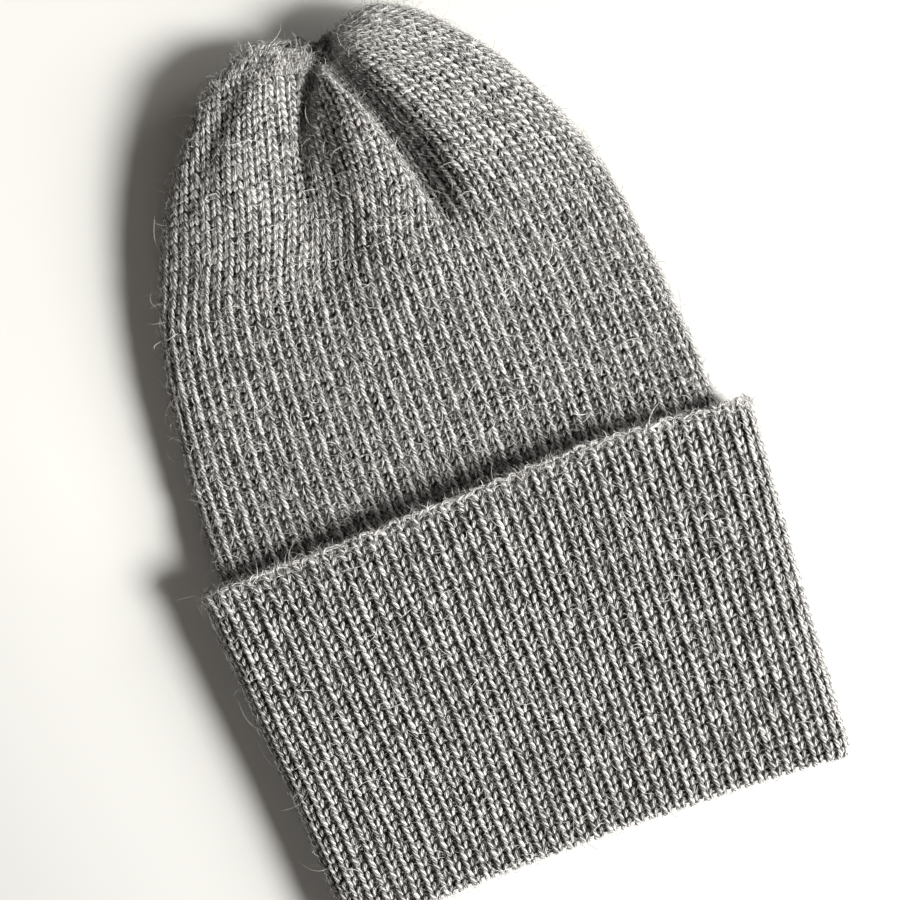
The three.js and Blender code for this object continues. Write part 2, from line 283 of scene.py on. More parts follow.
def placed(points):
    """Points of the hat's frame in the part's frame, in metres."""
    return (np.asarray(points) - SHIFT) * MM


def unit(vectors):
    """Vectors of length 1 in the same directions."""
    return vectors / np.maximum(np.linalg.norm(vectors, axis=-1, keepdims=True), LEAST)


class Cloth:
    """The outer face of a stretch of knit, as points by row and rib.

    handed is 1 where the rows begin by running to the gather and -1 where they begin by running away.
    """

    def __init__(self, points, handed):
        self.points = points
        self.handed = handed
        self.count = points.shape[1]
        steps = np.linalg.norm(np.diff(points, axis=0), axis=2).mean(axis=1)
        self.rows = np.concatenate(([0], np.cumsum(steps))) / ROW
        forward = np.gradient(points, self.rows, axis=0)
        around = (np.roll(points, -1, axis=1) - np.roll(points, 1, axis=1)) / 2
        normals = handed * np.cross(forward, around)
        self.normals = unit(normals)
        self.pitches = np.linalg.norm(around, axis=2) * self.count / RIBS

    def at(self, row, rib):
        """Point, normal and distance between two ribs at places in rows and ribs."""
        i = np.interp(row, self.rows, np.arange(len(self.rows)))
        i0 = np.minimum(i.astype(int), len(self.rows) - 2)
        j = (rib / RIBS * self.count) % self.count
        j0 = j.astype(int) % self.count
        j1 = (j0 + 1) % self.count
        fi, fj = i - i0, j - np.floor(j)

        def mixed(values):
            if values.ndim == 3:
                a, b = fi[..., None], fj[..., None]
            else:
                a, b = fi, fj
            low = values[i0, j0] * (1 - b) + values[i0, j1] * b
            high = values[i0 + 1, j0] * (1 - b) + values[i0 + 1, j1] * b
            return low * (1 - a) + high * a

        return mixed(self.points), mixed(self.normals), mixed(self.pitches)


GRID = 8 * RIBS  # points round a ring of cloth
RIM = WALL / 2  # radius of the loose edge
RIM_RINGS = 6
RIM_SHARE = 0.7  # how much of the half turn round the loose edge has stitches
CUFF_RINGS = 60
ROLL_RINGS = 24
INNER_RINGS = 14
INNER_START = 3  # y at which the cloth goes on inside, behind the rolled fold
INNER_END = 34  # how far the stitches go up inside the hollow
INNER_SPARE = 6  # how much further the cloth goes
SPARE_RINGS = 2  # rings of that spare cloth
CROWN_START = 104  # where the crown's stitches begin, under the cuff
CROWN_RINGS = 90
DOME_RINGS = 70


def cuff_cloth():
    """From the loose edge down the cuff, round the rolled fold and into the hollow."""
    rim = np.linspace(math.pi * RIM_SHARE, 0, RIM_RINGS, endpoint=False)
    down = np.linspace(CUFF_TOP, 0, CUFF_RINGS)
    roll = np.linspace(0, math.pi, ROLL_RINGS)[1:]
    outer = cuff_rings(
        np.concatenate([np.full(RIM_RINGS, CUFF_TOP), down, np.zeros(len(roll))]),
        np.concatenate([RIM * (1 - np.cos(rim)), np.zeros(CUFF_RINGS), ROLL * (1 - np.cos(roll))]),
        np.concatenate([RIM * np.sin(rim), np.zeros(CUFF_RINGS), -ROLL * np.sin(roll)]),
        GRID,
    )
    up = np.linspace(INNER_START, INNER_END + INNER_SPARE, INNER_RINGS)
    inner = crown_rings(crown_place(up), WALL, GRID)
    return Cloth(np.concatenate([outer, inner]), -1)


def crown_cloth():
    """From just under the cuff's loose edge to the bottom of the pucker."""
    low = crown_place(np.linspace(CROWN_START, CROWN_SECTIONS["y"][DOME], CROWN_RINGS))
    high = np.linspace(low[-1], CROWN_TOP, DOME_RINGS)[1:]
    return Cloth(crown_rings(np.concatenate([low, high]), 0, GRID), 1)


# Yarn

FULL_PITCH = 4.4  # distance between ribs from which the yarn has its full thickness
TIGHTEST = 0.5  # share of it that is left where the ribs are drawn together
FLATNESS = 0.85  # height of the yarn in shares of its width
CELL_MARGIN = 0.06  # free border round each length of yarn in the texture's layout, in shares of its cell


def spun(cloth, row, rib, across, along, height, radius, sides, tone):
    """Short lengths of yarn on a cloth, pointed at both ends.

    row and rib place each. across (in ribs), along (in rows), height and radius (in millimetres) give its
    shape, a value a point.
    """
    rings = np.shape(height)[-1]
    shape = (len(row), rings)
    across, along, height, radius = (np.broadcast_to(v, shape) for v in (across, along, height, radius))
    point, normal, pitch = cloth.at(row[:, None] + along, rib[:, None] - cloth.handed * across)
    normal = unit(normal)
    centre = point + normal * height[..., None]
    tangent = unit(np.gradient(centre, axis=1))
    side = unit(np.cross(tangent, normal))
    up = np.cross(side, tangent)
    tight = np.clip(pitch / FULL_PITCH, TIGHTEST, 1)[..., None]
    turn = np.arange(sides) / sides * 2 * math.pi
    wide = radius[..., None] * tight * np.cos(turn)
    tall = radius[..., None] * tight * FLATNESS * np.sin(turn)
    ring = centre[:, :, None] + side[:, :, None] * wide[..., None] + up[:, :, None] * tall[..., None]
    return SimpleNamespace(centre=centre, ring=ring[:, 1:-1], sides=sides, tone=tone, turn=turn)


def runs(centre):
    """How far along its length each point of a piece of yarn lies."""
    steps = np.linalg.norm(np.diff(centre, axis=1), axis=2)
    return np.concatenate([np.zeros((len(centre), 1)), np.cumsum(steps, axis=1)], axis=1)


def yarn_faces(rings, sides):
    """The faces of one length of yarn, and the places of their corners in its cell of the layout.

    The points of its rings come first, then its foot and its tip. Yarn of two sides is a flat strip.
    """
    foot, tip = rings * sides, rings * sides + 1
    pairs = [(a, (a + 1) % sides) for a in range(sides if sides > 2 else 1)]
    faces, places = [], []
    for a, b in pairs:
        faces.append([foot, b, a])
        places += [((a + 0.5) / sides, 0), ((a + 1) / sides, 1), (a / sides, 1)]
    for ring in range(1, rings):
        low, high = (ring - 1) * sides, ring * sides
        for a, b in pairs:
            left, right = a / sides, (a + 1) / sides
            faces.append([low + a, low + b, high + b, high + a])
            places += [(left, ring), (right, ring), (right, ring + 1), (left, ring + 1)]
    last = (rings - 1) * sides
    for a, b in pairs:
        faces.append([last + a, last + b, tip])
        places += [(a / sides, rings), ((a + 1) / sides, rings), ((a + 0.5) / sides, rings + 1)]
    return faces, np.array(places) / (1, rings + 1)


def mesh_of(name, groups):
    """One mesh of many lengths of yarn, with the places along and round the yarn kept for its material."""
    points, yarn, tones, loops, sizes, uvs = [], [], [], [], [], []
    wide = math.ceil(math.sqrt(sum(len(g.centre) for g in groups)))
    start, cell = 0, 0
    for g in groups:
        n, rings = g.ring.shape[:2]
        body = rings * g.sides
        each = body + 2
        block = np.concatenate([g.ring.reshape(n, body, 3), g.centre[:, :1], g.centre[:, -1:]], axis=1)
        points.append(block.reshape(-1, 3))
        run = runs(g.centre)
        coords = np.zeros((n, each, 3))
        coords[:, :body, :2] = np.tile(np.stack([np.cos(g.turn), np.sin(g.turn)], axis=1), (rings, 1))
        coords[:, :body, 2] = np.repeat(run[:, 1:-1], g.sides, axis=1)
        coords[:, -1, 2] = run[:, -1]
        yarn.append(coords.reshape(-1, 3))
        tones.append(np.repeat(g.tone, each))
        faces, places = yarn_faces(rings, g.sides)
        loops.append((np.concatenate(faces)[None] + (start + np.arange(n) * each)[:, None]).ravel())
        sizes.append(np.tile([len(face) for face in faces], n))
        cells = cell + np.arange(n)
        corner = np.stack([cells % wide, cells // wide], axis=1)[:, None]
        uvs.append(((corner + CELL_MARGIN + (1 - 2 * CELL_MARGIN) * places) / wide).reshape(-1, 2))
        start += n * each
        cell += n
    me = bpy.data.meshes.new(name)
    points = np.concatenate(points)
    points[:, 2] = np.maximum(points[:, 2], TABLE_GAP)
    fill_mesh(me, placed(points), np.concatenate(loops), np.concatenate(sizes))
    add_values(me, "yarn", "FLOAT_VECTOR", "vector", np.concatenate(yarn))
    add_values(me, "tone", "FLOAT", "value", np.concatenate(tones))
    layer = me.uv_layers.new(name="OFBake")
    layer.data.foreach_set("uv", np.concatenate(uvs).astype(np.float32).ravel())
    return me


def fill_mesh(me, points, loops, sizes):
    """Gives a mesh its points, the corners of its faces and how many corners each face has."""
    me.vertices.add(len(points))
    me.vertices.foreach_set("co", points.astype(np.float32).ravel())
    me.loops.add(len(loops))
    me.loops.foreach_set("vertex_index", loops.astype(np.int32))
    me.polygons.add(len(sizes))
    starts = np.concatenate(([0], np.cumsum(sizes)[:-1]))
    me.polygons.foreach_set("loop_start", starts.astype(np.int32))
    me.update(calc_edges=True)
    me.shade_smooth()


def add_values(me, name, kind, field, values):
    """Gives each point of a mesh a value for its material."""
    attribute = me.attributes.new(name, kind, "POINT")
    attribute.data.foreach_set(field, values.astype(np.float32).ravel())


def piece(me, material, slot):
    """An object of the scene that belongs to the hat."""
    obj = bpy.data.objects.new(me.name, me)
    bpy.context.scene.collection.objects.link(obj)
    me.materials.append(material)
    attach(obj, "root")
    return obj


# Stitches

# Legs of a stitch: the rope's run into each other, the dash's stay apart. across, tilt: place beside the
# rib's middle and slant, in ribs, length: in rows, radius, height: in millimetres, loose: how much more the
# stitches vary at the first row. The open legs are those on the lobes below the gather.
CUFF_ROPE = dict(across=0.19, tilt=0.115, length=1.5, radius=0.84, height=-0.62, loose=1.6)
CUFF_DASH = dict(across=-0.2, tilt=-0.13, length=1.25, radius=0.7, height=-0.85, loose=1.6)
CROWN_ROPE = dict(across=0.14, tilt=0.1, length=1.45, radius=0.84, height=-0.62, loose=0)
CROWN_DASH = dict(across=-0.21, tilt=-0.13, length=1.1, radius=0.6, height=-1.05, loose=0)
OPEN_ROPE = dict(across=0.2, tilt=0.15, length=1.35, radius=0.9, height=-0.62, loose=0)
OPEN_DASH = dict(across=-0.21, tilt=-0.15, length=1.3, radius=0.84, height=-0.72, loose=0)
OPEN_ROWS = (30, 44)  # rows of the crown over which they open
SWALLOWED = 0.45  # distance between ribs below which a fold hides the stitches
LOOSE_ROWS = 2.6  # rows over which the loose edge settles
FRONT_NORMAL = -0.35  # cloth whose normal points further down than this is the underside

# How much legs vary, in shares of their tilt, length and radius, in ribs, rows and millimetres otherwise
LEG_VARY = dict(tilt=0.18, across=0.018, bow=0.02, length=0.06, along=0.05, height=0.1, radius=0.1)
LEG_DIVE, LEG_DIVE_CURVE = 0.75, 2.2  # how far the ends of a leg dive, and by which power
LEG_TAPER, LEG_TAPER_CURVE = 0.5, 2.5  # how much thinner they are, and by which power
LEG_TONE, LEG_TONE_VARY = 0.5, 0.2  # how light they are, from 0 to 1, and how much that varies
ROW_VARY = 0.04  # how far stitches lie off their row, in rows

# The purl bumps and the loops that end the knit: reach in ribs to each side, bow in rows, dive of their ends
# BUMP's low tone is painted shade: the bumps are the same yarn as the legs, darker because they lie down in
# the furrows
BUMP = dict(across=0.5, reach=0.24, bow=0.25, height=-2.1, dive=0.3, radius=0.6, tone=0.12)
BUMP_VARY = dict(across=0.03, along=0.1, height=0.15, tone=0.18)
LOOP = dict(row=1.25, reach=0.36, bow=0.5, height=-0.35, dive=0.5, radius=0.72, tone=0.6)
LOOP_VARY = dict(rib=0.06, reach=0.06, bow=0.2, skew=0.12, height=0.3, radius=0.12, tone=0.2)

# Points along and sides round each kind of yarn
ROPE_DETAIL = (6, 5)
DASH_DETAIL = (5, 4)
BUMP_DETAIL = (4, 4)
UNDER_DETAIL = (4, 4)
LOOP_DETAIL = (7, 5)


def opening(leg, open_leg):
    """A leg whose numbers change row by row as the knit opens."""
    def at(row):
        share = smooth((row[:, None] - OPEN_ROWS[0]) / (OPEN_ROWS[1] - OPEN_ROWS[0]))
        return {key: leg[key] + (open_leg[key] - leg[key]) * share for key in leg}

    return at


def lightness(rng, count, middle, vary):
    """How light each of many lengths of yarn is, from 0 to 1."""
    return np.clip(middle + vary * rng.normal(0, 1, count), 0, 1)


def legs(cloth, row, rib, leg, rng, points, sides):
    """One leg of each stitch."""
    n = len(row)
    s = np.linspace(-1, 1, points)[None]
    loose = 1 + leg["loose"] * np.exp(-((row[:, None] / LOOSE_ROWS) ** 2))
    turned, moved, bowed, longer, shifted, lifted = np.split(rng.normal(0, 1, (n, 6)) * loose, 6, axis=1)
    tilt = leg["tilt"] * (1 + LEG_VARY["tilt"] * turned)
    across = leg["across"] + LEG_VARY["across"] * moved - tilt * s + LEG_VARY["bow"] * bowed * (1 - s**2)
    along = s * leg["length"] / 2 * (1 + LEG_VARY["length"] * longer) + LEG_VARY["along"] * shifted
    height = leg["height"] - LEG_DIVE * np.abs(s) ** LEG_DIVE_CURVE + LEG_VARY["height"] * lifted
    thick = 1 + LEG_VARY["radius"] * rng.normal(0, 1, (n, 1))
    radius = leg["radius"] * (1 - LEG_TAPER * np.abs(s) ** LEG_TAPER_CURVE) * thick
    tone = lightness(rng, n, LEG_TONE, LEG_TONE_VARY)
    return spun(cloth, row, rib, across, along, height, radius, sides, tone)


def bumps(cloth, row, rib, rng, points, sides):
    """The purl bumps down in the furrow beside each rib, coloured darker as painted shade."""
    n = len(row)
    s = np.linspace(-1, 1, points)[None]
    moved, shifted, lifted = np.split(rng.normal(0, 1, (n, 3)), 3, axis=1)
    across = BUMP["across"] + BUMP["reach"] * s + BUMP_VARY["across"] * moved
    along = BUMP["bow"] * (1 - s**2) + BUMP_VARY["along"] * shifted
    height = BUMP["height"] - BUMP["dive"] * s**2 + BUMP_VARY["height"] * lifted
    tone = lightness(rng, n, BUMP["tone"], BUMP_VARY["tone"])
    return spun(cloth, row, rib, across, along, height, BUMP["radius"], sides, tone)


def edge_loops(cloth, rng, points, sides):
    """The loops that end the knit, bent from rib to rib along the loose edge."""
    n = 2 * RIBS
    rib = np.arange(n) / 2 + rng.normal(0, LOOP_VARY["rib"], n)
    s = np.linspace(-1, 1, points)[None]
    wider, bowed, skewed, lifted = np.split(rng.normal(0, 1, (n, 4)), 4, axis=1)
    across = (LOOP["reach"] + LOOP_VARY["reach"] * wider) * s
    along = -(LOOP["bow"] + LOOP_VARY["bow"] * bowed) * (1 - s**2) + LOOP_VARY["skew"] * skewed * s
    height = LOOP["height"] + LOOP_VARY["height"] * lifted - LOOP["dive"] * s**2
    radius = LOOP["radius"] * (1 + LOOP_VARY["radius"] * wider)
    tone = lightness(rng, n, LOOP["tone"], LOOP_VARY["tone"])
    return spun(cloth, np.full(n, LOOP["row"]), rib, across, along, height, radius, sides, tone)


def is_front(cloth, row, rib):
    """True where the cloth isn't the underside."""
    _, normal, _ = cloth.at(row, rib)
    return normal[..., 2] > FRONT_NORMAL


def stitches(cloth, rope, dash, first, last, seed, name):
    """The legs and bumps of all stitches between two rows, a mesh for each kind and one for the underside.

    rope and dash give the numbers of their leg at each row.
    """
    rng = np.random.default_rng(seed)
    row, rib = np.meshgrid(np.arange(first, last), np.arange(RIBS), indexing="ij")
    row = row.ravel() + 0.5 + ROW_VARY * rng.normal(0, 1, row.size)
    rib = rib.ravel().astype(float)
    seen = cloth.at(row, rib)[2] > SWALLOWED
    row, rib = row[seen], rib[seen]
    top = is_front(cloth, row, rib)
    r, c = row[top], rib[top]
    low_r, low_c = row[~top], rib[~top]
    ropes = [legs(cloth, r, c, rope(r), rng, *ROPE_DETAIL)]
    dashes = [legs(cloth, r, c, dash(r), rng, *DASH_DETAIL)]
    furrows = [bumps(cloth, r, c, rng, *BUMP_DETAIL)]
    under = [legs(cloth, low_r, low_c, leg(low_r), rng, *UNDER_DETAIL) for leg in (rope, dash)]
    kinds = dict(ropes=ropes, dashes=dashes, bumps=furrows, under=under)
    return [mesh_of(f"{name}_{kind}", groups) for kind, groups in kinds.items()]


# The cloth under the stitches

BASE = 2 * RIBS  # points round a ring of it
CREST = 1.5  # how deep it lies under the ribs
FURROW = 2.5  # how deep it lies in the furrows
INNER_FURROW = 0.7  # how far its furrows stand out inside the hollow
CUFF_BASE_RINGS = dict(down=44, roll=9, up=12, rim=4)
CROWN_BASE_RINGS = dict(dome=26, low=34, inside=16, narrowing=10)
CLOSED_END = ((0.86, 2.6), (0.6, 5.2), (0.28, 7.8))  # size and distance of the rings that close the hollow


def shell(name, rings, closed):
    """A closed skin of rings with as many points each. closed joins the last ring to the first."""
    m, n = rings.shape[:2]
    points = rings.reshape(-1, 3)
    i, j = np.meshgrid(np.arange(m if closed else m - 1), np.arange(n), indexing="ij")
    k, l = (i + 1) % m, (j + 1) % n
    quads = np.stack([i * n + j, i * n + l, k * n + l, k * n + j], axis=2).reshape(-1, 4)
    loops, sizes = quads.ravel(), np.full(len(quads), 4)
    if not closed:
        ends = np.array([rings[0].mean(axis=0), rings[-1].mean(axis=0)])
        points = np.concatenate([points, ends])
        j = np.arange(n)
        after = (j + 1) % n
        first = np.stack([np.full(n, m * n), after, j], axis=1)
        last = np.stack([np.full(n, m * n + 1), (m - 1) * n + j, (m - 1) * n + after], axis=1)
        loops = np.concatenate([loops, first.ravel(), last.ravel()])
        sizes = np.concatenate([sizes, np.full(2 * n, 3)])
    me = bpy.data.meshes.new(name)
    fill_mesh(me, placed(points), loops, sizes)
    return me


def cuff_base():
    """Down the outer face, round the fold, up the inner face and over the loose edge."""
    count = CUFF_BASE_RINGS
    down = np.linspace(CUFF_TOP, 0, count["down"])
    roll = np.linspace(0, math.pi, count["roll"] + 1)[1:]
    up = np.linspace(0, CUFF_TOP, count["up"])
    rim = np.linspace(math.pi, 0, count["rim"] + 2)[1:-1]

    def make(inset):
        thin = ROLL - inset
        half = (WALL - inset) / 2
        outer = cuff_rings(down, 0 * down + inset, 0 * down, BASE)
        round_ = cuff_rings(0 * roll, ROLL - thin * np.cos(roll), -thin * np.sin(roll), BASE)
        inner = cuff_rings(up, 0 * up + WALL, 0 * up, BASE)
        edge = cuff_rings(0 * rim + CUFF_TOP, inset + half * (1 - np.cos(rim)), half * np.sin(rim), BASE)
        return np.concatenate([outer, round_, inner, edge])

    rings, furrows = make(CREST), make(FURROW)
    rings[:, 1::2] = furrows[:, 1::2]
    return shell("cuff_base", rings, True)


def crown_base():
    """From the pucker down the outer face and up the inside to the hollow's closed end."""
    count = CROWN_BASE_RINGS
    dome = np.linspace(CROWN_TOP, DOME, count["dome"])
    outer_places = np.concatenate([dome[:-1], np.linspace(DOME, 0, count["low"])])
    inside = np.linspace(0, SHOULDER, count["inside"])
    inner_places = np.concatenate([inside[:-1], np.linspace(SHOULDER, DOME, count["narrowing"])])

    face = Cloth(crown_rings(outer_places, 0, BASE), -1)
    depths = np.tile([CREST, FURROW], RIBS)
    outer = face.points - face.normals * depths[:, None]
    inner = crown_rings(inner_places, WALL, BASE)
    lifted = crown_rings(inner_places, WALL - INNER_FURROW, BASE)
    inner[:, 1::2] = lifted[:, 1::2]
    last = inner[-1]
    middle = last.mean(axis=0)
    end = [middle + (last - middle) * share + np.array([0, step, 0]) for share, step in CLOSED_END]
    return shell("crown_base", np.concatenate([outer, inner, np.array(end)]), False)


# Fuzz

# Each kind: how many fibres, points along each, length, lift off the knit and half width in millimetres, and
# the tones between which they vary
# The tones are partly the wool's own mix of light and dark fibres and partly painted light: the matted
# fibres low in the knit run darker as painted shade, and the fibres at the loose edge, the strays and the
# tuft lighter as painted highlight
CUFF_MAT = dict(count=12000, seed=21, points=4, length=2.2, lift=0.25, width=0.062, tones=(0, 0.75))
CUFF_LOOSE = dict(count=3500, seed=23, points=5, length=4, lift=0.8, width=0.055, tones=(0.1, 1))
CUFF_EDGE = dict(count=2400, seed=27, points=5, length=3.2, lift=1.1, width=0.06, tones=(0.35, 1))
CUFF_STRAYS = dict(count=800, seed=25, points=8, length=7.2, lift=2.2, width=0.055, tones=(0.5, 1))
CROWN_MAT = dict(count=34000, seed=22, points=4, length=2.8, lift=0.35, width=0.062, tones=(0.05, 0.95))
CROWN_LOOSE = dict(count=7500, seed=24, points=5, length=4.4, lift=1.1, width=0.055, tones=(0.2, 1))
CROWN_STRAYS = dict(count=2400, seed=26, points=8, length=7.4, lift=2.2, width=0.055, tones=(0.4, 1))
CROWN_TUFT = dict(count=2000, seed=28, points=6, length=4.2, lift=2, width=0.05, tones=(0.3, 1))
CUFF_HAIR_ROWS = (0, 44)
EDGE_HAIR_ROWS = (0.2, 2.2)
TUFT_ROWS = 10  # rows at the gather that carry the tuft

HAIR_BACK = 0.12  # share of the fibres on the underside
HAIR_TRIES = 3  # places drawn for each, to choose from by side and by how wide the ribs lie
HAIR_ROOTS = 1.7  # how deep in the knit the deepest of them start
ROOT_CURVE = 1.5  # power by which few of them start so deep
LENGTH_VARY = 0.4
MOST_LONGER = 1.5  # how much longer than usual the longest are
MOST_LIFT = 1.8  # the same for how far they stand off
BEND_VARY = 0.75
MOST_BEND = 0.9  # how far the most bent turn aside, in shares of their length
BACKWARD = 0.25  # how much of their length the bend takes away
ROOT_RISE = 0.7  # share of a root's depth by which the fibre rises
ARCH, ARCH_HEIGHT = 1.6, 1.5  # the curve by which they rise and fall again
LEAN_VARY = 0.7
WIDTH_VARY = 0.25
TAPER = 0.5  # how much thinner their tips are


def hairs(cloth, rows, count, seed, points, length, lift, width, tones):
    """Loose fibres in the knit and over it: narrow pointed strips, each bent its own way.

    rows are the lowest and the highest row with roots.
    """
    rng = np.random.default_rng(seed)
    tries = HAIR_TRIES * count
    row = rng.uniform(*rows, tries)
    rib = rng.uniform(0, RIBS, tries)
    kept = is_front(cloth, row, rib) | (rng.uniform(0, 1, tries) < HAIR_BACK)
    kept &= rng.uniform(0, 1, tries) < cloth.at(row, rib)[2] / FULL_PITCH
    row, rib = row[kept][:count], rib[kept][:count]
    count = len(row)
    point, normal, _ = cloth.at(row, rib)
    normal = unit(normal)
    some = rng.normal(0, 1, (count, 3))
    tangent = unit(some - normal * (some * normal).sum(axis=1, keepdims=True))
    across = np.cross(normal, tangent)
    size = length * np.minimum(rng.lognormal(0, LENGTH_VARY, (count, 1)), MOST_LONGER)
    bend = np.clip(rng.normal(0, BEND_VARY, (count, 1)), -MOST_BEND, MOST_BEND)
    rise = lift * np.minimum(np.abs(rng.normal(0, 1, (count, 1))), MOST_LIFT)
    root = HAIR_ROOTS * rng.uniform(0, 1, (count, 1)) ** ROOT_CURVE
    s = np.linspace(0, 1, points)[None, :, None]
    path = (
        (point - normal * root)[:, None]
        + tangent[:, None] * (size[:, None] * s * (1 - BACKWARD * s))
        + across[:, None] * (size * bend)[:, None] * s**2
        + normal[:, None] * (rise + root * ROOT_RISE)[:, None] * (s * (ARCH - s)) * ARCH_HEIGHT
    )
    direction = unit(np.gradient(path, axis=1))
    side = unit(np.cross(direction, np.broadcast_to(normal[:, None], direction.shape)))
    up = np.cross(side, direction)
    lean = rng.normal(0, LEAN_VARY, (count, 1, 1))
    flat = side * np.cos(lean) + up * np.sin(lean)
    turn = np.array([0, math.pi])
    radius = width * rng.lognormal(0, WIDTH_VARY, (count, 1, 1)) * (1 - TAPER * s)
    ring = path[:, :, None] + flat[:, :, None] * (radius * np.cos(turn))[..., None]
    tone = rng.uniform(*tones, count)
    return SimpleNamespace(centre=path, ring=ring[:, 1:-1], sides=2, tone=tone, turn=turn)


# Materials

def nodes_of(name, surface):
    """A new material, its nodes, its shader with the numbers of its surface, and two helpers for nodes."""
    material = bpy.data.materials.new(name)
    material.use_nodes = True
    tree = material.node_tree
    shader = tree.nodes["Principled BSDF"]
    for key, value in surface.items():
        shader.inputs[key].default_value = value

    def node(kind, inputs, **settings):
        made = tree.nodes.new(kind)
        for key, value in settings.items():
            setattr(made, key, value)
        for key, value in inputs.items():
            socket = made.inputs[key]
            if isinstance(value, bpy.types.NodeSocket):
                tree.links.new(value, socket)
            else:
                socket.default_value = value
        return made

    def maths(operation, *values):
        return node("ShaderNodeMath", dict(enumerate(values)), operation=operation).outputs[0]

    return material, tree, shader, node, maths


def ramp_of(made, stops):
    """Gives a colour ramp its colours."""
    elements = made.color_ramp.elements
    while len(elements) < len(stops):
        elements.new(0.5)
    for element, (place, colour) in zip(elements, stops):
        element.position = place
        element.color = (*colour, 1)


TWIST = -0.65  # turns of the plies, in radians a millimetre
PLIES = 4.0
# Painted shade darkens the grooves between the plies, and a painted highlight lightens their crests
PLY_PAINTED_SHADE = 0.13  # how much the plies lighten and darken the yarn
PLY_RELIEF = 0.35
TONE_SHADE = 0.28  # how much lighter the lightest pieces of yarn are
TONE_SHIFT = 60.0  # how far apart pieces of different tone lie in the pattern of fibres
FIBRE_STRETCH = 0.35  # how long the fibres are drawn along the yarn
YARN_NOISE = {"Scale": 5.5, "Detail": 5.0, "Roughness": 0.7}
YARN_BUMP = {"Strength": 0.9, "Distance": 0.0008}
YARN_SURFACE = {"Roughness": 0.75, "Sheen Weight": 0.25, "Sheen Roughness": 0.5, "Specular IOR Level": 0.3}
YARN_COLOURS = [(0.46, (0.045, 0.044, 0.042)), (0.59, (0.35, 0.345, 0.333)), (0.74, (1, 0.99, 0.965))]

CLOTH_GRAIN = (900.0, 340.0, 900.0)  # how fine its fibres are across, along and up
CLOTH_NOISE = {"Scale": 1.0, "Detail": 4.0, "Roughness": 0.7}
CLOTH_BUMP = {"Strength": 0.8, "Distance": 0.0006}
CLOTH_SURFACE = {"Roughness": 0.9, "Specular IOR Level": 0.2}
# Painted shade: the cloth in the furrows and inside the hollow is coloured far darker than the yarn
CLOTH_PAINTED_SHADE_COLOURS = [(0.4, (0.02, 0.02, 0.019)), (0.54, (0.1, 0.098, 0.094)), (0.7, (0.45, 0.44, 0.42))]

HAIR_SURFACE = {"Roughness": 0.6}
HAIR_COLOURS = [(0.0, (0.05, 0.049, 0.047)), (0.55, (0.28, 0.275, 0.262)), (1.0, (0.95, 0.94, 0.91))]


def yarn_material():
    """Melange wool: light and dark fibres that wind round the yarn, with painted shade in the grooves
    between its plies.
    """
    material, tree, shader, node, maths = nodes_of("melange_yarn", YARN_SURFACE)
    place = node("ShaderNodeAttribute", {}, attribute_name="yarn").outputs["Vector"]
    tone = node("ShaderNodeAttribute", {}, attribute_name="tone").outputs["Fac"]
    parts = node("ShaderNodeSeparateXYZ", {0: place}).outputs
    angle = maths("ARCTAN2", parts["Y"], parts["X"])
    slant = maths("MULTIPLY_ADD", parts["Z"], TWIST, angle)
    ply = maths("SINE", maths("MULTIPLY", slant, PLIES))
    sine = maths("SINE", slant)
    cosine = maths("COSINE", slant)
    along = maths("MULTIPLY", maths("MULTIPLY_ADD", tone, TONE_SHIFT, parts["Z"]), FIBRE_STRETCH)
    wound = node("ShaderNodeCombineXYZ", {0: sine, 1: cosine, 2: along}).outputs[0]
    fibres = node("ShaderNodeTexNoise", {"Vector": wound, **YARN_NOISE}).outputs["Fac"]
    shade = maths("MULTIPLY_ADD", ply, PLY_PAINTED_SHADE, maths("MULTIPLY_ADD", tone, TONE_SHADE, fibres))
    ramp = node("ShaderNodeValToRGB", {0: shade})
    ramp_of(ramp, YARN_COLOURS)
    tree.links.new(ramp.outputs[0], shader.inputs["Base Color"])
    height = maths("MULTIPLY_ADD", ply, PLY_RELIEF, fibres)
    bump = node("ShaderNodeBump", {"Height": height, **YARN_BUMP})
    tree.links.new(bump.outputs[0], shader.inputs["Normal"])
    return material


def painted_shade_cloth_material():
    """The knit in the furrows and inside: the same wool, matted, its fibres drawn along the ribs, and
    darkened by painted shade.
    """
    material, tree, shader, node, _ = nodes_of("knit_in_painted_shade", CLOTH_SURFACE)
    place = node("ShaderNodeTexCoord", {}).outputs["Object"]
    scaled = node("ShaderNodeMapping", {"Vector": place, "Scale": CLOTH_GRAIN}).outputs[0]
    fibres = node("ShaderNodeTexNoise", {"Vector": scaled, **CLOTH_NOISE}).outputs["Fac"]
    ramp = node("ShaderNodeValToRGB", {0: fibres})
    ramp_of(ramp, CLOTH_PAINTED_SHADE_COLOURS)
    tree.links.new(ramp.outputs[0], shader.inputs["Base Color"])
    bump = node("ShaderNodeBump", {"Height": fibres, **CLOTH_BUMP})
    tree.links.new(bump.outputs[0], shader.inputs["Normal"])
    return material


def hair_material():
    """Loose fibres from dark to light grey."""
    material, tree, shader, node, _ = nodes_of("loose_fibre", HAIR_SURFACE)
    tone = node("ShaderNodeAttribute", {}, attribute_name="tone").outputs["Fac"]
    ramp = node("ShaderNodeValToRGB", {0: tone})
    ramp_of(ramp, HAIR_COLOURS)
    tree.links.new(ramp.outputs[0], shader.inputs["Base Color"])
    return material


# The hat

CUFF_SEED, CROWN_SEED, LOOP_SEED = 11, 12, 13


